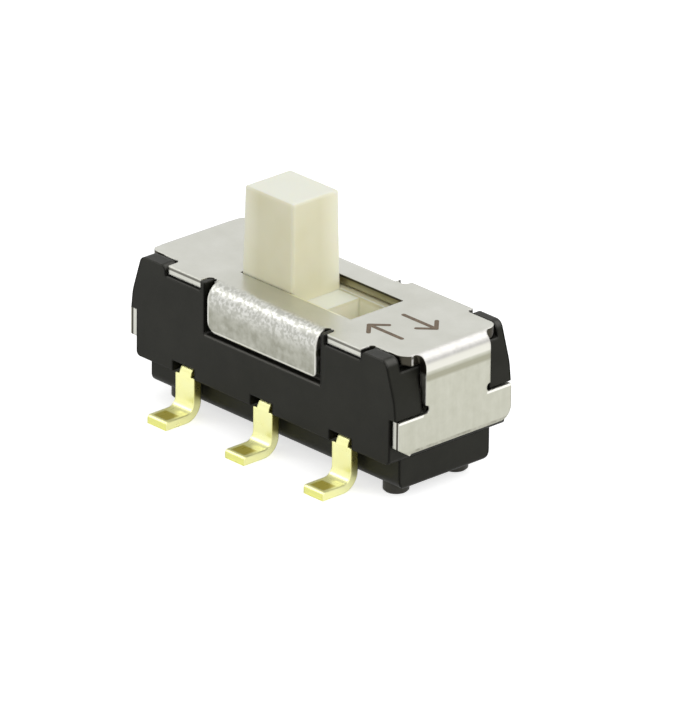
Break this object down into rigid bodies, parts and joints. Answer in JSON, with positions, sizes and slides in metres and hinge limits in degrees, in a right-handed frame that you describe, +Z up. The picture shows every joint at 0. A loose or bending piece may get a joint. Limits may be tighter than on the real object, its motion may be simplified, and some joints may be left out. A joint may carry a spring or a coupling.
{
  "type": "slide switch",
  "caption": "Surface-mount slide switch: moulded housing on pegs, folded steel cover, tapered knob in a slot and gull-wing leads along one side.",
  "frame": {"origin": "under the middle of the housing, on the plane that the feet of the leads and the pegs stand on", "axes": "+X along the slider's travel, away from the position that it rests in; -Y is the side with the leads; +Z up out of the cover"},
  "size_m": [0.0086, 0.0042, 0.0054],
  "materials": {
    "housing": "fine matt moulding",
    "cover": "satin plated sheet",
    "slider": "cream, slightly waxy",
    "contact": "plated spring strip",
    "terminal": "bright gold plating"
  },
  "bodies": {
    "base": {"housing": "housing", "cover": "cover", "terminal_1": "terminal", "terminal_2": "terminal", "terminal_3": "terminal"},
    "slider": {"slider": "slider", "moving_contact": "contact"}
  },
  "joints": [
    {"name": "slider_travel", "type": "slide", "parent": "base", "child": "slider", "axis": [1, 0, 0], "range_m": [0, 0.00185]}
  ]
}
